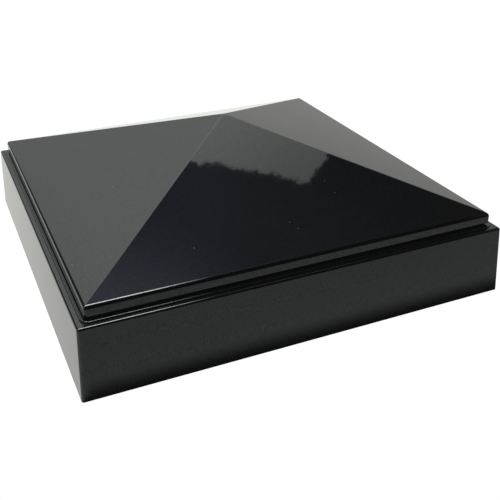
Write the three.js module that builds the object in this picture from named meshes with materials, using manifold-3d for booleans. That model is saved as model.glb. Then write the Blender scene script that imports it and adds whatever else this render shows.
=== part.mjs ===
// Square pyramid cap for a 140 mm (nominal 6 x 6 inch) timber fence post.
// A cast skirt frame slips over the post, a cast hollow pyramid roof is screwed down on it from
// beneath over a gasket, and four set screws with pressure pads clamp the frame to the post.
// Millimetres, +Z up, origin at the centre of the skirt's bottom rim, front face towards -Y.

import * as THREE from 'three';
import Module from 'manifold-3d';
import { ConvexGeometry } from 'three/addons/geometries/ConvexGeometry.js';
import { mergeVertices } from 'three/addons/utils/BufferGeometryUtils.js';

// Skirt frame
const SKIRT_TOP_HALF = 76.0;
const SKIRT_BOTTOM_HALF = 77.0;
const SKIRT_HEIGHT = 25.2;
const SKIRT_CORNER_R = 0.9;
const SKIRT_EDGE_R = 0.8;
const RIM_EDGE_R = 0.3;
const SOCKET_HALF = 71.5;
const SOCKET_CORNER_R = 2.5;
const SOCKET_LEAD_IN = 1.2;
const PLATE_UNDERSIDE_Z = 21.0;
const PLATE_OPENING_HALF = 46.0;
const PLATE_OPENING_R = 10.0;

// Raised step on top of the frame, just outside the roof's lip
const STEP_HALF = 74.2;
const STEP_HEIGHT = 0.58;
const STEP_CORNER_R = 3.0;
const STEP_EDGE_R = 0.25;

// Roof
const LIP_HALF = 73.0;
const LIP_BOTTOM_Z = 26.45;
const LIP_TOP_Z = 29.95;
const LIP_CORNER_R = 0.9;
const LIP_EDGE_R = 1.45;
const LIP_LOWER_EDGE = 0.3;
const APEX_Z = 55.1;
const APEX_FLAT_HALF = 0.5;
const ROOF_SLOPE = (APEX_Z - LIP_TOP_Z) / LIP_HALF;
const ROOF_WALL_DROP = 3.4;
const ROOF_RIM_INNER_HALF = 62.4;
const ROOF_RIB_WIDTH = 2.6;
const ROOF_RIB_DEPTH = 4.0;
const ROOF_RIB_ROOT = 1.0;

// Gasket between frame and roof
const GASKET_OUTER_HALF = 71.6;
const GASKET_INNER_HALF = 64.0;
const GASKET_CORNER_R = 3.0;
const GASKET_CLEARANCE = 0.1;

// Screws that hold the roof, driven from beneath
const ROOF_SCREW_OFFSET = 54.0;
const BOSS_R = 5.0;
const BOSS_CLEARANCE = 0.3;
const SCREW_SHANK_R = 1.85;
const SCREW_BORE_R = 2.15;
const SCREW_THROUGH_R = 2.4;
const SCREW_TIP_Z = 31.2;
const SCREW_BORE_TOP_Z = 31.8;
const SCREW_HEAD_R = 3.8;
const SCREW_HEAD_HEIGHT = 2.1;
const SCREW_SOCKET_R = 1.45;
const SCREW_SOCKET_DEPTH = 1.2;
const COUNTERBORE_R = 4.6;
const COUNTERBORE_FLOOR_Z = 24.0;
const WASHER_R = 4.2;
const WASHER_THICKNESS = 0.5;
const PART_GAP = 0.1;

// Strips that the top of the post bears on
const SEAT_PAD_LENGTH = 84.0;
const SEAT_PAD_WIDTH = 14.0;
const SEAT_PAD_THICKNESS = 2.0;
const SEAT_PAD_OFFSET = 61.0;

// Post clamp: threaded insert, set screw and swivelling pressure pad
const CLAMP_Z = 10.5;
const CLAMP_SPREAD = 38.0;
const INSERT_BODY_R = 4.5;
const INSERT_FLANGE_R = 5.6;
const INSERT_FLANGE_THICKNESS = 0.9;
const INSERT_INNER_X = 71.6;
const INSERT_OUTER_X = 76.3;
const INSERT_HOLE_CLEARANCE = 0.2;
const CLAMP_BORE_R = 3.05;
const CLAMP_SCREW_R = 2.95;
const CLAMP_SCREW_INNER_X = 70.3;
const CLAMP_SCREW_OUTER_X = 76.4;
const CLAMP_SCREW_CHAMFER = 0.4;
const CLAMP_SOCKET_R = 1.73;
const CLAMP_SOCKET_DEPTH = 2.4;
const PRESSURE_PAD_R = 4.0;
const PRESSURE_PAD_INNER_X = 69.0;
const PRESSURE_PAD_THICKNESS = 1.2;
const PRESSURE_STEM_R = 1.2;
const PRESSURE_STEM_LENGTH = 1.7;
const STEM_HOLE_R = 1.35;
const STEM_HOLE_DEPTH = 2.0;

// Facets
const CORNER_FACETS = 5;
const EDGE_FACETS = 3;
const ROUND_FACETS = 24;
const CUT_OVERRUN = 2.0;
const QUARTER_TURN = Math.PI / 2;

const wasm = await Module();
wasm.setup();

const powderCoat = () => new THREE.MeshStandardMaterial({ color: 0x121416, roughness: 0.22, metalness: 0.0 });
const blackRubber = () => new THREE.MeshStandardMaterial({ color: 0x161616, roughness: 0.8, metalness: 0.0 });
const stainless = () => new THREE.MeshStandardMaterial({ color: 0xb9bcbf, roughness: 0.3, metalness: 1.0 });
const brass = () => new THREE.MeshStandardMaterial({ color: 0xc8a45a, roughness: 0.35, metalness: 1.0 });
const nylon = () => new THREE.MeshStandardMaterial({ color: 0xe4e1d8, roughness: 0.5, metalness: 0.0 });

// Outline of a square with rounded corners, counter-clockwise, as points at height z.
function squareOutline(half, radius, z) {
  const inner = half - radius;
  const shape = new THREE.Shape();
  shape.moveTo(half, -inner);
  shape.absarc(inner, inner, radius, 0, QUARTER_TURN);
  shape.absarc(-inner, inner, radius, QUARTER_TURN, 2 * QUARTER_TURN);
  shape.absarc(-inner, -inner, radius, 2 * QUARTER_TURN, 3 * QUARTER_TURN);
  shape.absarc(inner, -inner, radius, 3 * QUARTER_TURN, 4 * QUARTER_TURN);
  return shape.getPoints(CORNER_FACETS).map((p) => new THREE.Vector3(p.x, p.y, z));
}

// Levels of a convex square block: each entry is [half width, corner radius, height].
function squareBlock(levels) {
  return toSolid(new ConvexGeometry(levels.flatMap(([half, radius, z]) => squareOutline(half, radius, z))));
}

// Levels that round a block's upper edge: the half width shrinks and the height grows along a quarter circle.
function roundedTop(half, cornerRadius, topZ, edgeRadius) {
  const levels = [];
  for (let i = 0; i <= EDGE_FACETS; i += 1) {
    const angle = (QUARTER_TURN * i) / EDGE_FACETS;
    const inset = edgeRadius * (1 - Math.cos(angle));
    levels.push([half - inset, cornerRadius, topZ - edgeRadius * (1 - Math.sin(angle))]);
  }
  return levels;
}

function toSolid(geometry) {
  const bare = geometry.clone();
  bare.deleteAttribute('normal');
  bare.deleteAttribute('uv');
  const merged = mergeVertices(bare, 1e-4);
  return new wasm.Manifold(new wasm.Mesh({
    numProp: 3,
    vertProperties: new Float32Array(merged.attributes.position.array),
    triVerts: new Uint32Array(merged.index.array),
  }));
}

function toGeometry(solid) {
  const mesh = solid.getMesh();
  const geometry = new THREE.BufferGeometry();
  geometry.setAttribute('position', new THREE.BufferAttribute(new Float32Array(mesh.vertProperties), 3));
  geometry.setIndex(new THREE.BufferAttribute(new Uint32Array(mesh.triVerts), 1));
  const flat = geometry.toNonIndexed();
  flat.computeVertexNormals();
  return flat;
}

// Upright cylinder between two heights, centred on (x, y).
function upright(radius, z0, z1, x, y, facets = ROUND_FACETS) {
  const geometry = new THREE.CylinderGeometry(radius, radius, z1 - z0, facets);
  geometry.rotateX(QUARTER_TURN);
  geometry.translate(x, y, (z0 + z1) / 2);
  return toSolid(geometry);
}

// Turned piece about the Z axis from a profile of [radius, height] points that starts and ends on the axis.
function turned(profile, facets = ROUND_FACETS) {
  const geometry = new THREE.LatheGeometry(profile.map(([r, z]) => new THREE.Vector2(r, z)), facets);
  geometry.rotateX(QUARTER_TURN);
  return geometry;
}

// Moves a piece made along +Z so that it lies along +X at the clamp height and at side position along.
function layAlongX(geometry, along) {
  geometry.rotateY(QUARTER_TURN);
  geometry.translate(0, along, CLAMP_Z);
  return geometry;
}

function piece(name, solid, material) {
  const mesh = new THREE.Mesh(toGeometry(solid), material);
  mesh.name = name;
  return mesh;
}

const corners = [
  ['front_left', -1, -1],
  ['front_right', 1, -1],
  ['rear_right', 1, 1],
  ['rear_left', -1, 1],
];

// The clamps are on the two faces away from the approach side: the right one (+X) and the rear one (+Y).
const clampFaces = [
  { face: 'right', turn: 0, ends: [['front', -CLAMP_SPREAD], ['rear', CLAMP_SPREAD]] },
  { face: 'rear', turn: QUARTER_TURN, ends: [['right', -CLAMP_SPREAD], ['left', CLAMP_SPREAD]] },
];

function clampHole(along, turn) {
  const bodyHole = INSERT_BODY_R + INSERT_HOLE_CLEARANCE;
  const flangeHole = INSERT_FLANGE_R + INSERT_HOLE_CLEARANCE;
  const flangeSeat = INSERT_OUTER_X - INSERT_FLANGE_THICKNESS - PART_GAP;
  const profile = [
    [0, SOCKET_HALF - CUT_OVERRUN],
    [bodyHole, SOCKET_HALF - CUT_OVERRUN],
    [bodyHole, flangeSeat],
    [flangeHole, flangeSeat],
    [flangeHole, SKIRT_BOTTOM_HALF + CUT_OVERRUN],
    [0, SKIRT_BOTTOM_HALF + CUT_OVERRUN],
  ];
  return toSolid(layAlongX(turned(profile), along).rotateZ(turn));
}

function buildBase() {
  const skirt = squareBlock([
    [SKIRT_BOTTOM_HALF - RIM_EDGE_R, SKIRT_CORNER_R, 0],
    [SKIRT_BOTTOM_HALF, SKIRT_CORNER_R, RIM_EDGE_R],
    ...roundedTop(SKIRT_TOP_HALF, SKIRT_CORNER_R, SKIRT_HEIGHT, SKIRT_EDGE_R),
  ]);
  const stepTop = SKIRT_HEIGHT + STEP_HEIGHT;
  const step = squareBlock([
    [STEP_HALF, STEP_CORNER_R, SKIRT_HEIGHT - CUT_OVERRUN],
    ...roundedTop(STEP_HALF, STEP_CORNER_R, stepTop, STEP_EDGE_R),
  ]);
  const socket = squareBlock([
    [SOCKET_HALF, SOCKET_CORNER_R, -CUT_OVERRUN],
    [SOCKET_HALF, SOCKET_CORNER_R, PLATE_UNDERSIDE_Z],
  ]);
  const leadIn = squareBlock([
    [SOCKET_HALF + SOCKET_LEAD_IN, SOCKET_CORNER_R, -CUT_OVERRUN],
    [SOCKET_HALF + SOCKET_LEAD_IN, SOCKET_CORNER_R, 0],
    [SOCKET_HALF - CUT_OVERRUN, SOCKET_CORNER_R, SOCKET_LEAD_IN + CUT_OVERRUN],
  ]);
  const plateOpening = squareBlock([
    [PLATE_OPENING_HALF, PLATE_OPENING_R, PLATE_UNDERSIDE_Z - CUT_OVERRUN],
    [PLATE_OPENING_HALF, PLATE_OPENING_R, stepTop + CUT_OVERRUN],
  ]);
  let base = skirt.add(step).subtract(socket).subtract(leadIn).subtract(plateOpening);
  for (const [, sx, sy] of corners) {
    const x = sx * ROOF_SCREW_OFFSET;
    const y = sy * ROOF_SCREW_OFFSET;
    base = base.subtract(upright(COUNTERBORE_R, PLATE_UNDERSIDE_Z - CUT_OVERRUN, COUNTERBORE_FLOOR_Z, x, y));
    base = base.subtract(upright(SCREW_THROUGH_R, COUNTERBORE_FLOOR_Z - CUT_OVERRUN, stepTop + CUT_OVERRUN, x, y));
  }
  for (const { turn, ends } of clampFaces) {
    for (const [, along] of ends) {
      base = base.subtract(clampHole(along, turn));
    }
  }
  return piece('base_casting', base, powderCoat());
}

// Levels that round the edge between the lip's upright face and the roof's slope.
function roundedLipEdge() {
  const tilt = Math.atan(ROOF_SLOPE);
  const centreZ = LIP_TOP_Z + ROOF_SLOPE * LIP_EDGE_R - LIP_EDGE_R / Math.cos(tilt);
  const levels = [];
  for (let i = 0; i <= EDGE_FACETS; i += 1) {
    const angle = ((QUARTER_TURN - tilt) * i) / EDGE_FACETS;
    const half = LIP_HALF - LIP_EDGE_R * (1 - Math.cos(angle));
    levels.push([half, LIP_CORNER_R, centreZ + LIP_EDGE_R * Math.sin(angle)]);
  }
  return levels;
}

// Pyramid-topped block whose ceiling lies a given vertical distance under the roof's outer slope.
function underSlope(half, drop) {
  const ceiling = APEX_Z - drop;
  return squareBlock([
    [half, STEP_CORNER_R, LIP_BOTTOM_Z - CUT_OVERRUN - drop],
    [half, STEP_CORNER_R, ceiling - ROOF_SLOPE * half],
    [APEX_FLAT_HALF, APEX_FLAT_HALF / 2, ceiling - ROOF_SLOPE * APEX_FLAT_HALF],
  ]);
}

function buildRoof() {
  const outer = squareBlock([
    [LIP_HALF - LIP_LOWER_EDGE, LIP_CORNER_R, LIP_BOTTOM_Z],
    [LIP_HALF, LIP_CORNER_R, LIP_BOTTOM_Z + LIP_LOWER_EDGE],
    ...roundedLipEdge(),
    [APEX_FLAT_HALF, APEX_FLAT_HALF / 2, APEX_Z - ROOF_SLOPE * APEX_FLAT_HALF],
  ]);
  let roof = outer.subtract(underSlope(ROOF_RIM_INNER_HALF, ROOF_WALL_DROP));
  const ribSlab = underSlope(ROOF_RIM_INNER_HALF + ROOF_RIB_ROOT, ROOF_WALL_DROP - ROOF_RIB_ROOT)
    .subtract(underSlope(ROOF_RIM_INNER_HALF + 2 * ROOF_RIB_ROOT, ROOF_WALL_DROP + ROOF_RIB_DEPTH));
  const ribSpan = 2 * LIP_HALF;
  for (const [sizeX, sizeY] of [[ribSpan, ROOF_RIB_WIDTH], [ROOF_RIB_WIDTH, ribSpan]]) {
    const slice = toSolid(new THREE.BoxGeometry(sizeX, sizeY, ribSpan));
    roof = roof.add(ribSlab.intersect(slice));
  }
  const bossFoot = SKIRT_HEIGHT + STEP_HEIGHT + BOSS_CLEARANCE;
  for (const [, sx, sy] of corners) {
    const x = sx * ROOF_SCREW_OFFSET;
    const y = sy * ROOF_SCREW_OFFSET;
    roof = roof.add(upright(BOSS_R, bossFoot, LIP_TOP_Z + ROOF_WALL_DROP, x, y));
    roof = roof.subtract(upright(SCREW_BORE_R, bossFoot - CUT_OVERRUN, SCREW_BORE_TOP_Z, x, y));
  }
  return piece('roof_casting', roof, powderCoat());
}

function buildGasket() {
  const low = SKIRT_HEIGHT + STEP_HEIGHT + GASKET_CLEARANCE;
  const high = LIP_BOTTOM_Z - GASKET_CLEARANCE;
  const ring = squareBlock([
    [GASKET_OUTER_HALF, GASKET_CORNER_R, low],
    [GASKET_OUTER_HALF, GASKET_CORNER_R, high],
  ]).subtract(squareBlock([
    [GASKET_INNER_HALF, GASKET_CORNER_R, low - CUT_OVERRUN],
    [GASKET_INNER_HALF, GASKET_CORNER_R, high + CUT_OVERRUN],
  ]));
  return piece('roof_gasket', ring, blackRubber());
}

function buildRoofScrew(name, x, y) {
  const headTop = COUNTERBORE_FLOOR_Z - WASHER_THICKNESS - 2 * PART_GAP;
  const headBottom = headTop - SCREW_HEAD_HEIGHT;
  const dome = SCREW_HEAD_HEIGHT / 3;
  const screw = turned([
    [0, headBottom],
    [SCREW_HEAD_R - dome, headBottom],
    [SCREW_HEAD_R - dome / 4, headBottom + dome / 2],
    [SCREW_HEAD_R, headBottom + dome * 1.5],
    [SCREW_HEAD_R, headTop],
    [SCREW_SHANK_R, headTop],
    [SCREW_SHANK_R, SCREW_TIP_Z - SCREW_SHANK_R / 3],
    [SCREW_SHANK_R * 0.7, SCREW_TIP_Z],
    [0, SCREW_TIP_Z],
  ]);
  screw.translate(x, y, 0);
  const socket = upright(SCREW_SOCKET_R, headBottom - CUT_OVERRUN, headBottom + SCREW_SOCKET_DEPTH, x, y, 6);
  return piece(name, toSolid(screw).subtract(socket), stainless());
}

function buildRoofWasher(name, x, y) {
  const high = COUNTERBORE_FLOOR_Z - PART_GAP;
  const low = high - WASHER_THICKNESS;
  const disc = upright(WASHER_R, low, high, x, y);
  return piece(name, disc.subtract(upright(SCREW_BORE_R, low - CUT_OVERRUN, high + CUT_OVERRUN, x, y)), nylon());
}

function buildSeatPad(name, turn) {
  const strip = new THREE.BoxGeometry(SEAT_PAD_LENGTH, SEAT_PAD_WIDTH, SEAT_PAD_THICKNESS);
  strip.translate(0, -SEAT_PAD_OFFSET, PLATE_UNDERSIDE_Z - PART_GAP - SEAT_PAD_THICKNESS / 2);
  strip.rotateZ(turn);
  return piece(name, toSolid(strip), blackRubber());
}

function buildInsert(name, along, turn) {
  const flangeSeat = INSERT_OUTER_X - INSERT_FLANGE_THICKNESS;
  const body = turned([
    [0, INSERT_INNER_X],
    [INSERT_BODY_R, INSERT_INNER_X],
    [INSERT_BODY_R, flangeSeat],
    [INSERT_FLANGE_R, flangeSeat],
    [INSERT_FLANGE_R, INSERT_OUTER_X],
    [0, INSERT_OUTER_X],
  ]);
  const bore = turned([
    [0, INSERT_INNER_X - CUT_OVERRUN],
    [CLAMP_BORE_R, INSERT_INNER_X - CUT_OVERRUN],
    [CLAMP_BORE_R, INSERT_OUTER_X + CUT_OVERRUN],
    [0, INSERT_OUTER_X + CUT_OVERRUN],
  ]);
  const insert = toSolid(layAlongX(body, along).rotateZ(turn));
  return piece(name, insert.subtract(toSolid(layAlongX(bore, along).rotateZ(turn))), brass());
}

function buildClampScrew(name, along, turn) {
  const body = turned([
    [0, CLAMP_SCREW_INNER_X],
    [CLAMP_SCREW_R - CLAMP_SCREW_CHAMFER, CLAMP_SCREW_INNER_X],
    [CLAMP_SCREW_R, CLAMP_SCREW_INNER_X + CLAMP_SCREW_CHAMFER],
    [CLAMP_SCREW_R, CLAMP_SCREW_OUTER_X - CLAMP_SCREW_CHAMFER],
    [CLAMP_SCREW_R - CLAMP_SCREW_CHAMFER, CLAMP_SCREW_OUTER_X],
    [0, CLAMP_SCREW_OUTER_X],
  ]);
  const socket = turned([
    [0, CLAMP_SCREW_OUTER_X - CLAMP_SOCKET_DEPTH],
    [CLAMP_SOCKET_R, CLAMP_SCREW_OUTER_X - CLAMP_SOCKET_DEPTH],
    [CLAMP_SOCKET_R, CLAMP_SCREW_OUTER_X + CUT_OVERRUN],
    [0, CLAMP_SCREW_OUTER_X + CUT_OVERRUN],
  ], 6);
  const stemHole = turned([
    [0, CLAMP_SCREW_INNER_X - CUT_OVERRUN],
    [STEM_HOLE_R, CLAMP_SCREW_INNER_X - CUT_OVERRUN],
    [STEM_HOLE_R, CLAMP_SCREW_INNER_X + STEM_HOLE_DEPTH],
    [0, CLAMP_SCREW_INNER_X + STEM_HOLE_DEPTH],
  ]);
  const [screw, hex, hole] = [body, socket, stemHole].map((g) => toSolid(layAlongX(g, along).rotateZ(turn)));
  return piece(name, screw.subtract(hex).subtract(hole), stainless());
}

function buildPressurePad(name, along, turn) {
  const back = PRESSURE_PAD_INNER_X + PRESSURE_PAD_THICKNESS;
  const pad = turned([
    [0, PRESSURE_PAD_INNER_X],
    [PRESSURE_PAD_R - CLAMP_SCREW_CHAMFER, PRESSURE_PAD_INNER_X],
    [PRESSURE_PAD_R, PRESSURE_PAD_INNER_X + CLAMP_SCREW_CHAMFER],
    [PRESSURE_PAD_R, back],
    [PRESSURE_STEM_R, back],
    [PRESSURE_STEM_R, back + PRESSURE_STEM_LENGTH],
    [0, back + PRESSURE_STEM_LENGTH],
  ]);
  return piece(name, toSolid(layAlongX(pad, along).rotateZ(turn)), nylon());
}

const cap = new THREE.Group();
cap.add(buildBase());
cap.add(buildGasket());
cap.add(buildRoof());
for (const [corner, sx, sy] of corners) {
  cap.add(buildRoofScrew(`roof_screw_${corner}`, sx * ROOF_SCREW_OFFSET, sy * ROOF_SCREW_OFFSET));
  cap.add(buildRoofWasher(`roof_washer_${corner}`, sx * ROOF_SCREW_OFFSET, sy * ROOF_SCREW_OFFSET));
}
['front', 'right', 'rear', 'left'].forEach((side, i) => {
  cap.add(buildSeatPad(`seat_pad_${side}`, i * QUARTER_TURN));
});
for (const { face, turn, ends } of clampFaces) {
  for (const [end, along] of ends) {
    cap.add(buildInsert(`clamp_insert_${face}_${end}`, along, turn));
    cap.add(buildClampScrew(`clamp_screw_${face}_${end}`, along, turn));
    cap.add(buildPressurePad(`clamp_pad_${face}_${end}`, along, turn));
  }
}

export default cap;
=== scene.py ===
import math

import bmesh
import bpy
from mathutils import Matrix, Vector


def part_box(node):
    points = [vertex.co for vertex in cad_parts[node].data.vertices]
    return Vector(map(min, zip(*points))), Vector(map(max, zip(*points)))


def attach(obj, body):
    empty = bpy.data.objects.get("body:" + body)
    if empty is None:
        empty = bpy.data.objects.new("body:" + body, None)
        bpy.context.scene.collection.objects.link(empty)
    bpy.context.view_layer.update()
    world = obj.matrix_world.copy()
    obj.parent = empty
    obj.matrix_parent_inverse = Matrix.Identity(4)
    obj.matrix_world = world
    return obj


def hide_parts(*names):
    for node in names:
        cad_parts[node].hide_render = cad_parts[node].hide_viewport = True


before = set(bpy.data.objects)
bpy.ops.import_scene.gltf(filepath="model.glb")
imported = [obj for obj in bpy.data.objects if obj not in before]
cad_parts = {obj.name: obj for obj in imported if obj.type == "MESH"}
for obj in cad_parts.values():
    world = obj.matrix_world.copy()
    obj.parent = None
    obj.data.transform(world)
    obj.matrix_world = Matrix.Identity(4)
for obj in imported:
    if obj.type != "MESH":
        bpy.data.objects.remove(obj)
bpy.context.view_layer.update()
MM = 0.001

# ---------------------------------------------------------------- sizes in mm, from the CAD pieces' boxes
# PART_GAP is the room that the CAD leaves between neighbouring pieces
PART_GAP = 0.1
RIM_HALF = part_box("base_casting")[1].x / MM
STEP_TOP_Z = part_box("base_casting")[1].z / MM
LIP_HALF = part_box("roof_casting")[1].x / MM
LIP_BOTTOM_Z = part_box("roof_gasket")[1].z / MM + PART_GAP
PLATE_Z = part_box("seat_pad_front")[1].z / MM + PART_GAP

# ---------------------------------------------------------------- sizes in mm that no box gives
# base casting: an _EDGE_R rounds an edge in section, and any other _R is a corner seen from above
SKIRT_TOP_HALF = 76.0
SKIRT_Z = 25.2
SKIRT_R = 0.9
SKIRT_EDGE_R = 0.85
RIM_EDGE_R = 0.15
STEP_HALF = 74.2
STEP_R = 3.0
STEP_EDGE_R = 0.32
SOCKET_HALF = 71.5
SOCKET_R = 2.5
SOCKET_FILLET = 1.5
SOCKET_LEAD_IN = 1.3
OPENING_HALF = 46.0
OPENING_R = 10.0
OPENING_EASE = 0.6

# roof casting, whose point is off centre towards +X, as in the picture
APEX_Z = 55.1
APEX_SHIFT = 1.2
APEX_BLUNTING = 0.24
RIDGE_R = 0.4
LIP_TOP_Z = 29.95
LIP_R = 0.9
LIP_EDGE_R = 1.45
LIP_LOW_EDGE_R = 0.3
ROOF_RIM_HALF = 62.4
ROOF_RIM_R = 3.0
ROOF_RIM_EASE = 0.3
ROOF_DROP = 3.4

# roof screws
ROOF_SCREW_OFFSET = 54.0
SCREW_HOLE_R = 2.4
SCREW_HOLE_TOP_Z = 28.0
COUNTERBORE_R = 4.6
COUNTERBORE_Z = 24.0

# clamps: places along a clamp's own axis are measured from the cap's centre
CLAMP_Z = 10.5
CLAMP_SPREAD = 38.0
INSERT_R = 4.5
INSERT_BORE_R = 3.05
INSERT_START = 71.6
INSERT_END = 76.3
FLANGE_R = 5.6
FLANGE_START = 75.4
POCKET_CLEARANCE = 0.2
SET_SCREW_START = 70.3
SET_SCREW_END = 76.4
PAD_R = 4.0
PAD_START = 69.0
PAD_END = 70.2
STEM_R = 1.2
STEM_HOLE_R = 1.35

# ---------------------------------------------------------------- mesh settings
ROUND_POINTS = 72
CORNER_STEPS = 8
SHARPEST_R = 0.02
WELD_DISTANCE_M = 1e-8

# ---------------------------------------------------------------- studio and camera
# the camera sees floor and room at these brightnesses, which come out white
FLOOR_SEEN = 1.05
ROOM_SEEN = 1.02
FLOOR_HALF_M = 6.0
FLOOR_Z_M = -0.0002
LAMP = 16.0
AZIMUTH = math.radians(-23.235)
ELEVATION = math.radians(24.756)
ROLL = math.radians(-0.634)
CAMERA_DISTANCE = 369.2916
CAMERA_TARGET = Vector((26.1744, 42.4308, 0.0))
LENS = 56.343
SHIFT_X = 0.0197
SHIFT_Y = -0.12


# ---------------------------------------------------------------- mesh helpers
def outline(half, radius, z):
    """Points of a square with round corners, anticlockwise from the +Y end of its +X side."""
    radius = max(radius, SHARPEST_R)
    c = half - radius
    points = []
    for quarter in range(4):
        cx = c if quarter in (0, 3) else -c
        cy = c if quarter in (0, 1) else -c
        for i in range(CORNER_STEPS + 1):
            a = (quarter + i / CORNER_STEPS) * math.pi / 2
            points.append((cx + radius * math.cos(a), cy + radius * math.sin(a), z))
    return points


def arc(c_half, c_z, r, start, end, steps, plan_r):
    """Section points (half width, height, corner radius) of a round edge, angles in degrees from outward."""
    points = []
    for i in range(steps + 1):
        a = math.radians(start + (end - start) * i / steps)
        half = c_half + r * math.cos(a)
        points.append((half, c_z + r * math.sin(a), max(plan_r - (c_half + r - half), SHARPEST_R)))
    return points


def to_object(bm, name):
    bmesh.ops.recalc_face_normals(bm, faces=bm.faces)
    mesh = bpy.data.meshes.new(name)
    bm.to_mesh(mesh)
    bm.free()
    ob = bpy.data.objects.new(name, mesh)
    bpy.context.scene.collection.objects.link(ob)
    return ob


def skin(name, loops, closed=False, poles=(None, None)):
    """A surface through loops of points (mm), closed on itself or ended on a point at either end."""
    bm = bmesh.new()
    rows = [[bm.verts.new([c * MM for c in p]) for p in loop] for loop in loops]
    n = len(rows[0])
    pairs = list(zip(rows, rows[1:]))
    if closed:
        pairs.append((rows[-1], rows[0]))
    for a, b in pairs:
        for i in range(n):
            j = (i + 1) % n
            bm.faces.new((a[i], a[j], b[j], b[i]))
    for pole, row, flip in ((poles[0], rows[0], True), (poles[1], rows[-1], False)):
        if pole is None:
            continue
        tip = bm.verts.new([c * MM for c in pole])
        for i in range(n):
            j = (i + 1) % n
            bm.faces.new((row[j], row[i], tip) if flip else (row[i], row[j], tip))
    bmesh.ops.remove_doubles(bm, verts=bm.verts, dist=WELD_DISTANCE_M)
    return to_object(bm, name)


def smooth(ob, angle=32):
    """Smooth shading that stays sharp at edges over the angle, in degrees, with flat faces kept flat."""
    ob.data.shade_smooth()
    ob.data.set_sharp_from_angle(angle=math.radians(angle))
    normals = ob.modifiers.new("normals", "WEIGHTED_NORMAL")
    normals.keep_sharp = True
    normals.weight = 60
    return ob


def cut(ob, cutters):
    for cutter in cutters:
        boolean = ob.modifiers.new("cut", "BOOLEAN")
        boolean.operation = "DIFFERENCE"
        boolean.solver = "EXACT"
        boolean.object = cutter
    graph = bpy.context.evaluated_depsgraph_get()
    mesh = bpy.data.meshes.new_from_object(ob.evaluated_get(graph))
    ob.modifiers.clear()
    ob.data = mesh
    for cutter in cutters:
        bpy.data.objects.remove(cutter)


def ring(radius_at, z):
    """Points round local Z at a height, from a radius that may change with the angle."""
    points = []
    for i in range(ROUND_POINTS):
        a = 2 * math.pi * i / ROUND_POINTS
        r = radius_at(a)
        points.append((r * math.cos(a), r * math.sin(a), z))
    return points


def circle(r, z):
    return ring(lambda a: r, z)


def hexagon(across, z):
    """A hexagon, given across its flats, with as many points as a circle, so that they can be joined."""
    sixth = math.pi / 3
    return ring(lambda a: across / 2 / math.cos(a % sixth - sixth / 2), z)


def circles(profile):
    return [circle(r, z) for r, z in profile]


def place(loops, m):
    return [[m @ Vector(p) for p in loop] for loop in loops]


def capped(name, loops, ends, m):
    """A solid through loops along local Z, ended on its axis at two heights and moved by the matrix."""
    poles = tuple(m @ Vector((0, 0, z)) for z in ends)
    return skin(name, place(loops, m), poles=poles)


def turned(name, profile, m):
    """A solid of revolution about local Z from (radius, height) points, with flat ends."""
    return capped(name, circles(profile), (profile[0][1], profile[-1][1]), m)


def turned_ring(name, profile, m):
    """A ring of revolution about local Z from the (radius, height) points of its closed section."""
    return skin(name, place(circles(profile), m), closed=True)


def thread(r, depth, pitch, start, end, rows_per_turn=10):
    """Loops along local Z whose radius follows a right-hand thread with flat crests and roots."""
    steps = int((end - start) / pitch * rows_per_turn)
    loops = []
    for k in range(steps + 1):
        z = start + (end - start) * k / steps

        def radius_at(a, z=z):
            phase = (z / pitch - a / (2 * math.pi)) % 1.0
            fall = min(1.0, max(0.0, abs(2 * phase - 1) * 1.5 - 0.25))
            return r - depth * fall

        loops.append(ring(radius_at, z))
    return loops


# ---------------------------------------------------------------- where the repeated pieces go
def roof_screw_at(sign_x, sign_y):
    return Matrix.Translation((sign_x * ROOF_SCREW_OFFSET, sign_y * ROOF_SCREW_OFFSET, 0))


def clamp_at(turn, offset):
    """Local Z to the face's outward direction, at a sideways offset and the clamps' height."""
    z_to_x = Matrix.Rotation(math.radians(90), 4, "Y")
    return Matrix.Rotation(math.radians(turn), 4, "Z") @ Matrix.Translation((0, offset, CLAMP_Z)) @ z_to_x


ROOF_SCREWS = {
    "front_left": roof_screw_at(-1, -1),
    "front_right": roof_screw_at(1, -1),
    "rear_right": roof_screw_at(1, 1),
    "rear_left": roof_screw_at(-1, 1),
}
CLAMPS = {
    "right_front": clamp_at(0, -CLAMP_SPREAD),
    "right_rear": clamp_at(0, CLAMP_SPREAD),
    "rear_right": clamp_at(90, -CLAMP_SPREAD),
    "rear_left": clamp_at(90, CLAMP_SPREAD),
}


# ---------------------------------------------------------------- castings
def skirt_section():
    """The skirt from its rim up, over the ledge and the raised step."""
    draft = (RIM_HALF - SKIRT_TOP_HALF) / SKIRT_Z
    section = arc(RIM_HALF - RIM_EDGE_R, RIM_EDGE_R, RIM_EDGE_R, -90, 0, 6, SKIRT_R)
    section += [(RIM_HALF - draft * z, z, SKIRT_R) for z in (8.0, 16.0)]
    section += arc(SKIRT_TOP_HALF - SKIRT_EDGE_R, SKIRT_Z - SKIRT_EDGE_R, SKIRT_EDGE_R, 2, 90, 8, SKIRT_R)
    section += [(STEP_HALF, SKIRT_Z, STEP_R)]
    section += arc(STEP_HALF - STEP_EDGE_R, STEP_TOP_Z - STEP_EDGE_R, STEP_EDGE_R, 0, 90, 6, STEP_R)
    under_lip_half = LIP_HALF - 3.0
    section += [(under_lip_half, STEP_TOP_Z, STEP_R)]
    return section


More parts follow.
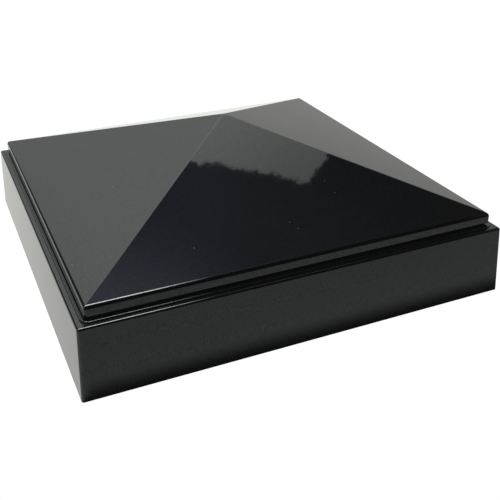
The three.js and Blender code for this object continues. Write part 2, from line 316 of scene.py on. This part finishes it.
def inner_section():
    """The plate's opening from the top down, the plate's underside and the socket down to the rim."""
    eased_half = OPENING_HALF + OPENING_EASE
    eased_r = OPENING_R + OPENING_EASE
    section = [
        (eased_half, STEP_TOP_Z, eased_r),
        (OPENING_HALF, STEP_TOP_Z - OPENING_EASE, OPENING_R),
        (OPENING_HALF, PLATE_Z + OPENING_EASE, OPENING_R),
        (eased_half, PLATE_Z, eased_r),
    ]
    for angle in (90, 45, 0):
        a = math.radians(angle)
        inward = SOCKET_FILLET * (1 - math.cos(a))
        down = SOCKET_FILLET * (1 - math.sin(a))
        section.append((SOCKET_HALF - inward, PLATE_Z - down, SOCKET_R))
    section += [
        (SOCKET_HALF, SOCKET_LEAD_IN, SOCKET_R),
        (SOCKET_HALF + SOCKET_LEAD_IN - 0.2, 0.1, SOCKET_R + 0.3),
        (SOCKET_HALF + SOCKET_LEAD_IN, 0.0, SOCKET_R + 0.5),
    ]
    return section


def clamp_pocket(name, m):
    """Room for an insert, from inside the socket's wall out through a small countersink."""
    hole_r = INSERT_R + POCKET_CLEARANCE
    flange_r = FLANGE_R + POCKET_CLEARANCE
    step = FLANGE_START - PART_GAP
    profile = [
        (hole_r, SOCKET_HALF - 2.5),
        (hole_r, step),
        (flange_r, step),
        (flange_r, INSERT_END + 0.05),
        (flange_r + 0.45, INSERT_END + 0.5),
        (flange_r + 0.45, RIM_HALF + 2.0),
    ]
    return turned(name, profile, m)


def counterbore(name, m):
    """Room for a roof screw's head from beneath, eased at its mouth, and its clear hole above."""
    profile = [
        (COUNTERBORE_R + 0.3, PLATE_Z - 2),
        (COUNTERBORE_R + 0.3, PLATE_Z),
        (COUNTERBORE_R, PLATE_Z + 0.3),
        (COUNTERBORE_R, COUNTERBORE_Z),
        (SCREW_HOLE_R, COUNTERBORE_Z),
        (SCREW_HOLE_R, SCREW_HOLE_TOP_Z),
    ]
    return turned(name, profile, m)


def build_base():
    section = skirt_section() + inner_section()
    ob = skin("base_casting_fine", [outline(half, r, z) for half, z, r in section], closed=True)
    cutters = [clamp_pocket(f"cut_{key}", m) for key, m in CLAMPS.items()]
    cutters += [counterbore(f"cut_{key}", m) for key, m in ROOF_SCREWS.items()]
    cut(ob, cutters)
    finish_piece(smooth(ob), "base_casting", "cap", "powder_coat")


def build_roof():
    slope = (APEX_Z - LIP_TOP_Z) / LIP_HALF
    tilt = math.atan(slope)
    ceiling_z = APEX_Z - ROOF_DROP
    inner_edge_z = ceiling_z - slope * ROOF_RIM_HALF
    tip_z = APEX_Z - APEX_BLUNTING
    section = [
        (1.0, ceiling_z - slope, 0.9),
        (ROOF_RIM_HALF - 1.0, inner_edge_z + slope, ROOF_RIM_R),
        (ROOF_RIM_HALF - ROOF_RIM_EASE, inner_edge_z - ROOF_RIM_EASE, ROOF_RIM_R),
        (ROOF_RIM_HALF, inner_edge_z - 1.2, ROOF_RIM_R),
        (ROOF_RIM_HALF, LIP_BOTTOM_Z + ROOF_RIM_EASE, ROOF_RIM_R),
        (ROOF_RIM_HALF + ROOF_RIM_EASE, LIP_BOTTOM_Z, ROOF_RIM_R + 0.2),
    ]
    low_r = LIP_LOW_EDGE_R
    section += arc(LIP_HALF - low_r, LIP_BOTTOM_Z + low_r, low_r, -90, 0, 5, LIP_R)
    # the edge between lip and slope is an arc that touches both
    edge_half = LIP_HALF - LIP_EDGE_R
    edge_z = LIP_TOP_Z + slope * LIP_EDGE_R - LIP_EDGE_R / math.cos(tilt)
    section += arc(edge_half, edge_z, LIP_EDGE_R, 0, 90 - math.degrees(tilt), 10, LIP_R)
    first_on_slope = len(section)
    for share, plan_r in ((0.85, RIDGE_R), (0.6, RIDGE_R), (0.35, RIDGE_R), (0.15, 0.7)):
        half = LIP_HALF * share
        section.append((half, APEX_Z - slope * half, plan_r))
    # the blunted point
    for half, sink, plan_r in ((1.6, 0.02, 0.8), (0.8, 0.1, 0.6)):
        section.append((half, APEX_Z - slope * half - sink, plan_r))
    section.append((0.3, tip_z - 0.02, 0.28))
    loops = []
    for k, (half, z, plan_r) in enumerate(section):
        shift = APEX_SHIFT * max(0.0, 1 - half / edge_half) if k >= first_on_slope else 0.0
        loops.append([(x + shift, y, height) for x, y, height in outline(half, plan_r, z)])
    ob = skin("roof_casting_fine", loops, poles=((0, 0, ceiling_z), (APEX_SHIFT, 0, tip_z)))
    finish_piece(smooth(ob, 24), "roof_casting", "cap", "powder_coat")


# ---------------------------------------------------------------- clamps, roof screws and seat strips
def build_insert(key, m):
    ease = 0.2
    profile = [
        (INSERT_BORE_R + 0.3, INSERT_START),
        (INSERT_R - ease, INSERT_START),
        (INSERT_R, INSERT_START + ease),
        (INSERT_R, FLANGE_START),
        (FLANGE_R - 0.15, FLANGE_START),
        (FLANGE_R, FLANGE_START + 0.15),
        (FLANGE_R, INSERT_END - ease),
        (FLANGE_R - ease, INSERT_END),
        (INSERT_BORE_R + 0.4, INSERT_END),
        (INSERT_BORE_R, INSERT_END - 0.35),
        (INSERT_BORE_R, INSERT_START + 0.4),
    ]
    ob = turned_ring(f"clamp_insert_{key}_fine", profile, m)
    finish_piece(smooth(ob), f"clamp_insert_{key}", "cap", "brass")


def build_set_screw(key, m):
    """Tip with the pad's stem hole, thread, and a hexagon socket in the outer end."""
    hole_end = SET_SCREW_START + 2.0
    loops = circles([(STEM_HOLE_R, hole_end), (STEM_HOLE_R, SET_SCREW_START)])
    loops += circles([(2.45, SET_SCREW_START), (2.6, SET_SCREW_START + 0.15)])
    loops += thread(2.93, 0.42, 1.0, SET_SCREW_START + 0.3, SET_SCREW_END - 0.4)
    loops += circles([(2.55, SET_SCREW_END - 0.1), (2.45, SET_SCREW_END), (2.05, SET_SCREW_END)])
    loops += [hexagon(3.25, SET_SCREW_END - 0.02), hexagon(3.0, SET_SCREW_END - 0.2)]
    loops += [hexagon(3.0, SET_SCREW_END - 2.3)]
    ob = capped(f"clamp_screw_{key}_fine", loops, (hole_end + 0.2, SET_SCREW_END - 2.7), m)
    finish_piece(smooth(ob, 40), f"clamp_screw_{key}", f"set_screw_{key}", "stainless_steel")


def build_pressure_pad(key, m):
    """Disc with a shallow hollow in its bearing face and a stem that sits in the set screw's tip."""
    ease = 0.15
    profile = [
        (2.2, PAD_START + ease),
        (2.4, PAD_START),
        (PAD_R - 0.5, PAD_START),
        (PAD_R - ease, PAD_START + ease),
        (PAD_R, PAD_START + 0.5),
        (PAD_R, PAD_END - ease),
        (PAD_R - ease, PAD_END),
        (STEM_R + ease, PAD_END),
        (STEM_R, PAD_END + ease),
        (STEM_R, PAD_END + 1.4),
        (STEM_R - 0.2, PAD_END + 1.7),
    ]
    ob = turned(f"clamp_pad_{key}_fine", profile, m)
    finish_piece(smooth(ob), f"clamp_pad_{key}", f"pressure_pad_{key}", "nylon")


def build_roof_screw(key, m):
    """Button head screw from beneath: hexagon socket, domed head, thread and tip."""
    socket_z = 21.2
    head = [
        (1.9, socket_z),
        (2.6, 21.3),
        (3.2, 21.6),
        (3.6, 22.05),
        (3.78, 22.6),
        (3.8, 23.1),
        (3.7, 23.3),
        (2.1, 23.3),
        (1.85, 23.5),
    ]
    loops = [hexagon(2.5, socket_z + 1.0), hexagon(2.5, socket_z + 0.15), hexagon(2.75, socket_z)]
    loops += circles(head)
    loops += thread(1.84, 0.3, 0.7, 24.3, 30.6, rows_per_turn=8)
    tip_z = 31.2
    loops += [circle(1.3, tip_z)]
    ob = capped(f"roof_screw_{key}_fine", loops, (socket_z + 1.3, tip_z), m)
    finish_piece(smooth(ob, 40), f"roof_screw_{key}", "cap", "stainless_steel")


def build_roof_washer(key, m):
    inner_r, outer_r, ease = 2.15, 4.2, 0.1
    low_z = COUNTERBORE_Z - 0.6
    high_z = COUNTERBORE_Z - PART_GAP
    profile = [
        (inner_r, low_z + ease),
        (inner_r + ease, low_z),
        (outer_r - ease, low_z),
        (outer_r, low_z + ease),
        (outer_r, high_z - ease),
        (outer_r - ease, high_z),
        (inner_r + ease, high_z),
        (inner_r, high_z - ease),
    ]
    ob = turned_ring(f"roof_washer_{key}_fine", profile, m)
    finish_piece(smooth(ob), f"roof_washer_{key}", "cap", "nylon")


def build_seat_pad(side):
    """Rubber strip with a soft edge and shallow grooves along its bearing face."""
    lo, hi = (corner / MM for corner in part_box(f"seat_pad_{side}"))
    centre = (lo + hi) / 2
    size = hi - lo
    runs_along_x = size.x > size.y
    half_length = max(size.x, size.y) / 2
    half_width = min(size.x, size.y) / 2
    groove_count = 5
    groove_depth = 0.45
    mouth_half = 0.55
    floor_half = 0.25
    edge = 0.25
    end_ease = 0.3
    end_narrowing = 0.985
    section = [(edge - half_width, lo.z)]
    for k in range(1, groove_count + 1):
        y = half_width * (2 * k / (groove_count + 1) - 1)
        section += [(y - mouth_half, lo.z), (y - floor_half, lo.z + groove_depth)]
        section += [(y + floor_half, lo.z + groove_depth), (y + mouth_half, lo.z)]
    section += [(half_width - edge, lo.z), (half_width, lo.z + edge)]
    section += [(half_width, hi.z - edge), (half_width - edge, hi.z)]
    section += [(edge - half_width, hi.z), (-half_width, hi.z - edge), (-half_width, lo.z + edge)]
    bm = bmesh.new()
    rings = []
    stations = [
        (-half_length, end_narrowing),
        (end_ease - half_length, 1.0),
        (half_length - end_ease, 1.0),
        (half_length, end_narrowing),
    ]
    for x, narrowing in stations:
        row = []
        for y, z in section:
            px, py = (x, y * narrowing) if runs_along_x else (y * narrowing, x)
            row.append(bm.verts.new(((px + centre.x) * MM, (py + centre.y) * MM, z * MM)))
        rings.append(row)
    n = len(section)
    for a, b in zip(rings, rings[1:]):
        for i in range(n):
            bm.faces.new((a[i], a[(i + 1) % n], b[(i + 1) % n], b[i]))
    bm.faces.new(rings[0])
    bm.faces.new(list(reversed(rings[-1])))
    ob = to_object(bm, f"seat_pad_{side}_fine")
    finish_piece(smooth(ob), f"seat_pad_{side}", "cap", "black_rubber")


# ---------------------------------------------------------------- materials
class Graph:
    """A material with one Principled shader, whose patterns are laid out in the object's own metres."""

    def __init__(self, name):
        self.mat = bpy.data.materials.new(name)
        self.mat.use_nodes = True
        self.tree = self.mat.node_tree
        self.tree.nodes.clear()
        self.out = self.add("ShaderNodeOutputMaterial")
        self.shader = self.add("ShaderNodeBsdfPrincipled")
        self.link(self.shader.outputs[0], self.out.inputs[0])
        self.coord = self.add("ShaderNodeTexCoord").outputs["Object"]

    def add(self, kind, **settings):
        node = self.tree.nodes.new(kind)
        for key, value in settings.items():
            setattr(node, key, value)
        return node

    def link(self, a, b):
        self.tree.links.new(a, b)

    def set(self, **values):
        for key, value in values.items():
            self.shader.inputs[key.replace("_", " ")].default_value = value

    def noise(self, scale, detail, rough=0.5):
        node = self.add("ShaderNodeTexNoise")
        for key, value in (("Scale", scale), ("Detail", detail), ("Roughness", rough)):
            node.inputs[key].default_value = value
        self.link(self.coord, node.inputs["Vector"])
        return node.outputs["Fac"]

    def ramp(self, fac, stops):
        node = self.add("ShaderNodeValToRGB")
        elements = node.color_ramp.elements
        for element, (position, colour) in zip(elements, stops):
            element.position = position
            element.color = (*colour, 1.0)
        self.link(fac, node.inputs["Fac"])
        return node.outputs["Color"]

    def span(self, fac, lo, hi, a=0.3, b=0.7):
        """From lo to hi while the pattern runs from a to b, and no further."""
        node = self.add("ShaderNodeMapRange")
        for key, value in (("From Min", a), ("From Max", b), ("To Min", lo), ("To Max", hi)):
            node.inputs[key].default_value = value
        self.link(fac, node.inputs["Value"])
        return node.outputs["Result"]

    def bump(self, height, strength, distance, below=None):
        node = self.add("ShaderNodeBump")
        node.inputs["Strength"].default_value = strength
        node.inputs["Distance"].default_value = distance
        self.link(height, node.inputs["Height"])
        if below is not None:
            self.link(below, node.inputs["Normal"])
        return node.outputs["Normal"]

    def colour(self, fac, *stops):
        self.link(self.ramp(fac, stops), self.shader.inputs["Base Color"])

    def roughness(self, fac, lo, hi):
        self.link(self.span(fac, lo, hi), self.shader.inputs["Roughness"])

    def dents(self, fac, strength, distance):
        self.link(self.bump(fac, strength, distance), self.shader.inputs["Normal"])


def dust_specks(g):
    """Small round specks, kept only where a coarse noise is high."""
    cells = g.add("ShaderNodeTexVoronoi")
    cells.inputs["Scale"].default_value = 260.0
    g.link(g.coord, cells.inputs["Vector"])
    speck = g.span(cells.outputs["Distance"], 1.0, 0.0, 0.05, 0.085)
    pick = g.span(g.noise(90.0, 1.0), 0.0, 1.0, 0.62, 0.66)
    both = g.add("ShaderNodeMath", operation="MULTIPLY")
    g.link(speck, both.inputs[0])
    g.link(pick, both.inputs[1])
    return both.outputs[0]


def powder_coat():
    """Gloss black coat: finely grained, with a faint painted glow that lifts its blacks, a few dust specks,
    and orange peel in two sizes.
    """
    g = Graph("gloss_powder_coat")
    g.set(IOR=1.5, Metallic=0.0, Emission_Color=(1.0, 1.0, 1.0, 1.0))
    grain_and_glow = g.noise(2800.0, 1.0, 0.6)
    mix = g.add("ShaderNodeMix", data_type="RGBA")
    g.link(dust_specks(g), mix.inputs[0])
    g.link(g.ramp(grain_and_glow, [(0.3, (0.0003, 0.0003, 0.0003)), (0.7, (0.0016, 0.0017, 0.0016))]), mix.inputs[6])
    mix.inputs[7].default_value = (0.05, 0.05, 0.047, 1.0)
    g.link(mix.outputs[2], g.shader.inputs["Base Color"])
    g.link(g.span(grain_and_glow, 0.37, 0.63), g.shader.inputs["Specular IOR Level"])
    # painted glow: a faint, uneven white emission lifts the coat's blacks, though the coat is no lamp
    g.link(g.span(grain_and_glow, 0.0010, 0.0038), g.shader.inputs["Emission Strength"])
    g.roughness(g.noise(160.0, 4.0, 0.6), 0.018, 0.034)
    peel = g.bump(g.noise(520.0, 2.0, 0.55), 0.5, 0.0000025)
    wave = g.bump(g.noise(240.0, 1.0), 0.5, 0.0000045, peel)
    g.link(wave, g.shader.inputs["Normal"])
    return g.mat


def black_rubber():
    g = Graph("epdm_rubber")
    g.set(IOR=1.5)
    g.colour(g.noise(300.0, 4.0), (0.3, (0.012, 0.012, 0.012)), (0.75, (0.028, 0.028, 0.027)))
    g.roughness(g.noise(900.0, 3.0), 0.62, 0.88)
    g.dents(g.noise(1400.0, 3.0), 0.35, 0.00008)
    return g.mat


def stainless():
    g = Graph("stainless_steel")
    g.set(Metallic=1.0)
    g.colour(g.noise(500.0, 3.0), (0.3, (0.50, 0.50, 0.51)), (0.7, (0.62, 0.62, 0.63)))
    g.roughness(g.noise(2600.0, 2.0), 0.22, 0.42)
    g.dents(g.noise(2600.0, 2.0), 0.12, 0.00004)
    return g.mat


def brass():
    g = Graph("turned_brass")
    g.set(Metallic=1.0)
    g.colour(g.noise(420.0, 4.0), (0.3, (0.52, 0.37, 0.16)), (0.7, (0.66, 0.49, 0.23)))
    g.roughness(g.noise(2000.0, 3.0), 0.24, 0.45)
    g.dents(g.noise(2200.0, 2.0), 0.12, 0.00004)
    return g.mat


def nylon():
    g = Graph("natural_nylon")
    g.set(IOR=1.53)
    g.colour(g.noise(220.0, 3.0), (0.3, (0.66, 0.64, 0.57)), (0.7, (0.78, 0.76, 0.70)))
    g.roughness(g.noise(700.0, 3.0), 0.4, 0.6)
    g.dents(g.noise(900.0, 3.0), 0.15, 0.00006)
    return g.mat


MATERIALS = {
    "powder_coat": powder_coat(),
    "black_rubber": black_rubber(),
    "stainless_steel": stainless(),
    "brass": brass(),
    "nylon": nylon(),
}


def finish_piece(ob, node, body, slot):
    """The piece takes a CAD node's place, its slot's material and its body's motion."""
    ob.data.materials.clear()
    ob.data.materials.append(MATERIALS[slot])
    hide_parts(node)
    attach(ob, body)


# ---------------------------------------------------------------- the pieces
build_base()
build_roof()
for key, m in CLAMPS.items():
    build_insert(key, m)
    build_set_screw(key, m)
    build_pressure_pad(key, m)
for key, m in ROOF_SCREWS.items():
    build_roof_screw(key, m)
    build_roof_washer(key, m)
for side in ("front", "right", "rear", "left"):
    build_seat_pad(side)
for material_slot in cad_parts["roof_gasket"].material_slots:
    material_slot.material = MATERIALS["black_rubber"]

# ---------------------------------------------------------------- stage
scene = bpy.context.scene
scene.view_settings.view_transform = "Standard"
scene.view_settings.look = "None"


class Sums:
    """Small arithmetic on shader node sockets and numbers."""

    def __init__(self, tree):
        self.tree = tree

    def add(self, kind, **settings):
        node = self.tree.nodes.new(kind)
        for key, value in settings.items():
            setattr(node, key, value)
        return node

    def put(self, value, socket):
        if hasattr(value, "is_output"):
            self.tree.links.new(value, socket)
        else:
            socket.default_value = value

    def op(self, kind, *values):
        node = self.add("ShaderNodeMath", operation=kind)
        for socket, value in zip(node.inputs, values):
            self.put(value, socket)
        return node.outputs[0]

    def mul(self, first, *rest):
        for value in rest:
            first = self.op("MULTIPLY", first, value)
        return first

    def plus(self, first, *rest):
        for value in rest:
            first = self.op("ADD", first, value)
        return first

    def less(self, first, second):
        return self.op("SUBTRACT", first, second)

    def change(self, share, amount):
        """One where the share is zero, and one plus the amount where it is one."""
        return self.plus(self.mul(share, amount), 1.0)

    def blend(self, first, second, share):
        return self.plus(first, self.mul(share, self.less(second, first)))

    def step(self, value, a, b, lo=0.0, hi=1.0):
        """A smooth change from lo, where the value is a, to hi, where it is b."""
        node = self.add("ShaderNodeMapRange", interpolation_type="SMOOTHSTEP")
        for key, v in zip(("Value", "From Min", "From Max", "To Min", "To Max"), (value, a, b, lo, hi)):
            self.put(v, node.inputs[key])
        return node.outputs["Result"]

    def tinted(self, brightness, tint):
        node = self.add("ShaderNodeCombineColor")
        for socket, share in zip(node.inputs, tint):
            self.put(self.mul(brightness, share), socket)
        return node.outputs[0]

    def seen_or_felt(self, kind, seen, felt):
        """White for the camera, the studio's own brightness for every reflection."""
        white, own = self.add(kind), self.add(kind)
        white.inputs["Color"].default_value = (seen, seen, seen, 1.0)
        self.put(felt, own.inputs["Color"])
        mix = self.add("ShaderNodeMixShader")
        self.put(self.add("ShaderNodeLightPath").outputs["Is Camera Ray"], mix.inputs[0])
        self.put(own.outputs[0], mix.inputs[1])
        self.put(white.outputs[0], mix.inputs[2])
        return mix.outputs[0]


def floor_light(m, x, y):
    """Painted light and shade on the sheet: how bright and how tinted it is in reflections, by its place in
    metres.
    """
    rim = RIM_HALF * MM
    # painted light: brighter behind, fading far out and in front, and painted shade slightly dimmer at the
    # front's right half
    reach = m.op("SQRT", m.plus(m.mul(x, x), m.mul(y, y)))
    glow = m.step(y, -0.15, 0.25, 0.56, 0.98)
    glow = m.mul(glow, m.step(reach, 0.22, 0.55, 1.0, 0.48), m.step(y, -0.30, -0.14, 0.2, 1.0))
    front_right = m.mul(m.step(x, -0.02, 0.10), m.step(y, -0.04, -0.06))
    glow = m.mul(glow, m.change(front_right, -0.11))
    # painted light, brighter beside the left face
    side = m.mul(m.step(x, -rim + 0.0025, -rim - 0.0015), m.step(y, -0.16, -0.10))
    glow = m.blend(glow, m.step(y, -0.10, 0.20, 0.77, 0.96), side)
    # painted contact shadow in front of the front rim, which widens from the left corner
    width = m.mul(m.plus(x, rim + 0.001), 1.95)
    width = m.op("MAXIMUM", m.op("MINIMUM", width, 0.0115), 0.0004)
    ahead = m.op("DIVIDE", m.mul(m.plus(y, rim), -1.0), width)
    contact_shadow = m.step(ahead, 0.1, 1.1, 0.08, 1.0)
    # the painted shadow ends behind the rim's edge, past the right corner and at the left corner
    for beyond in (
        m.op("GREATER_THAN", y, -rim + 0.0002),
        m.step(x, rim + 0.015, rim + 0.025),
        m.op("LESS_THAN", x, -rim - 0.001),
    ):
        contact_shadow = m.op("MAXIMUM", contact_shadow, beyond)
    front = m.mul(m.step(y, 0.05, -0.07), m.less(1.0, side))
    tint = (m.plus(m.mul(front, -0.07), 0.985), 1.0, 0.958)
    return m.tinted(m.mul(glow, contact_shadow), tint)


def build_floor():
    """Pale paper sheet, white to the camera, with painted light and shade in reflections: brighter behind
    and to the left, darker in front, and a painted shadow along the front rim.
    """
    mesh = bpy.data.meshes.new("floor")
    half = FLOOR_HALF_M
    corners = [(-half, -half, 0), (half, -half, 0), (half, half, 0), (-half, half, 0)]
    mesh.from_pydata(corners, [], [(0, 1, 2, 3)])
    ob = bpy.data.objects.new("floor", mesh)
    ob.location.z = FLOOR_Z_M
    scene.collection.objects.link(ob)
    g = Graph("floor_paper")
    g.tree.nodes.remove(g.shader)
    m = Sums(g.tree)
    split = m.add("ShaderNodeSeparateXYZ")
    m.put(g.coord, split.inputs[0])
    felt = floor_light(m, split.outputs[0], split.outputs[1])
    m.put(m.seen_or_felt("ShaderNodeEmission", FLOOR_SEEN, felt), g.out.inputs[0])
    mesh.materials.append(g.mat)


def wall_light(m, elev, azim):
    """The pale wall behind: brighter with height, dimmer to the right, with a bright patch low at left."""
    wall = m.step(elev, 14.0, 44.0, 0.56, 1.66)
    wall = m.mul(wall, m.step(azim, 38.0, 58.0, 0.62, 1.0))
    # slightly dimmer low down, except at the far left
    low = m.mul(m.step(azim, 100.0, 86.0), m.step(elev, 46.0, 36.0))
    wall = m.mul(wall, m.change(low, -0.14))
    patch = m.mul(m.step(azim, 82.0, 92.0), m.step(elev, 19.0, 12.0), m.step(elev, -4.0, 2.0))
    return m.mul(wall, m.change(patch, 0.8))


def wall_mask(m, coord, elev, azim):
    """One on the wall and zero elsewhere, with uneven top and right edges."""
    noise = m.add("ShaderNodeTexNoise")
    for key, value in (("Scale", 95.0), ("Detail", 6.0), ("Roughness", 0.8)):
        noise.inputs[key].default_value = value
    m.put(coord, noise.inputs["Vector"])
    wobble = m.mul(m.plus(noise.outputs["Fac"], -0.5), 2.3)
    top = m.op("LESS_THAN", m.plus(elev, wobble, m.mul(azim, -0.158)), 48.3)
    right = m.op("GREATER_THAN", m.plus(azim, m.mul(wobble, 1.4)), 40.7)
    left = m.step(azim, 111.0, 105.0)
    # lower down, the wall runs on to the right and ends softly
    low = m.mul(m.step(elev, 46.0, 34.0), m.step(azim, -12.0, 8.0))
    return m.mul(m.op("MAXIMUM", m.mul(right, top), low), left)


def build_world():
    """A room seen only in reflections, by azimuth from +X to +Y and elevation from level, in degrees."""
    world = bpy.data.worlds.new("studio")
    scene.world = world
    world.use_nodes = True
    world.node_tree.nodes.clear()
    m = Sums(world.node_tree)
    coord = m.add("ShaderNodeTexCoord").outputs["Generated"]
    split = m.add("ShaderNodeSeparateXYZ")
    m.put(coord, split.inputs[0])
    x, y, z = split.outputs
    elev = m.mul(m.op("ARCSINE", z), 180 / math.pi)
    azim = m.mul(m.op("ARCTAN2", y, x), 180 / math.pi)
    mask = wall_mask(m, coord, elev, azim)
    # dark ceiling, lighter towards the lamp, and an almost black room in front
    ceiling = m.mul(m.step(elev, 50.0, 62.0, 0.06, 0.155), m.step(azim, 40.0, 54.0, 1.0, 1.28))
    ceiling = m.plus(ceiling, m.step(elev, 61.0, 71.0, 0.0, 0.46))
    dark = m.blend(0.015, ceiling, m.step(y, -0.05, 0.12))
    total = m.blend(dark, wall_light(m, elev, azim), mask)
    # overhead lamp
    lamp = m.mul(m.step(x, 0.31, 0.20), m.step(x, -0.55, -0.40))
    lamp = m.mul(lamp, m.step(y, -0.14, -0.06), m.step(y, 0.30, 0.22), m.op("GREATER_THAN", z, 0.0))
    total = m.plus(total, m.mul(lamp, LAMP))
    # two soft side panels, which only show from behind and from the sides
    panels = m.plus(m.step(x, -0.56, -0.72), m.mul(m.step(x, 0.58, 0.70), m.step(y, 0.02, -0.10)))
    total = m.plus(total, m.mul(panels, m.step(elev, 6.0, 26.0), 0.75))
    # the ceiling is bluish and the wall slightly green
    cool = m.mul(m.step(elev, 46.0, 53.0), m.less(1.0, mask), m.less(1.0, lamp))
    cool = m.mul(cool, m.step(azim, 25.0, 28.5), m.step(elev, 63.0, 68.0, 1.0, 0.62))
    red = m.plus(m.mul(cool, -0.08), m.step(elev, 0.0, 14.0, 0.985, 0.95))
    blue = m.plus(m.mul(cool, 0.42), m.step(elev, 0.0, 14.0, 0.955, 0.972))
    out = m.add("ShaderNodeOutputWorld")
    felt = m.tinted(total, (red, 1.0, blue))
    m.put(m.seen_or_felt("ShaderNodeBackground", ROOM_SEEN, felt), out.inputs[0])


def build_camera():
    level = math.cos(ELEVATION)
    back = Vector((math.sin(AZIMUTH) * level, -math.cos(AZIMUTH) * level, math.sin(ELEVATION)))
    right = Vector((math.cos(AZIMUTH), math.sin(AZIMUTH), 0.0))
    up = back.cross(right)
    rolled_right = right * math.cos(ROLL) + up * math.sin(ROLL)
    rolled_up = up * math.cos(ROLL) - right * math.sin(ROLL)
    data = bpy.data.cameras.new("camera")
    data.sensor_width = 36.0
    data.lens = LENS
    data.shift_x = SHIFT_X
    data.shift_y = SHIFT_Y
    data.clip_start = 0.01
    data.clip_end = 50.0
    camera = bpy.data.objects.new("camera", data)
    scene.collection.objects.link(camera)
    turn = Matrix((rolled_right, rolled_up, back)).transposed().to_4x4()
    camera.matrix_world = Matrix.Translation((back * CAMERA_DISTANCE + CAMERA_TARGET) * MM) @ turn
    scene.camera = camera


build_floor()
build_world()
build_camera()
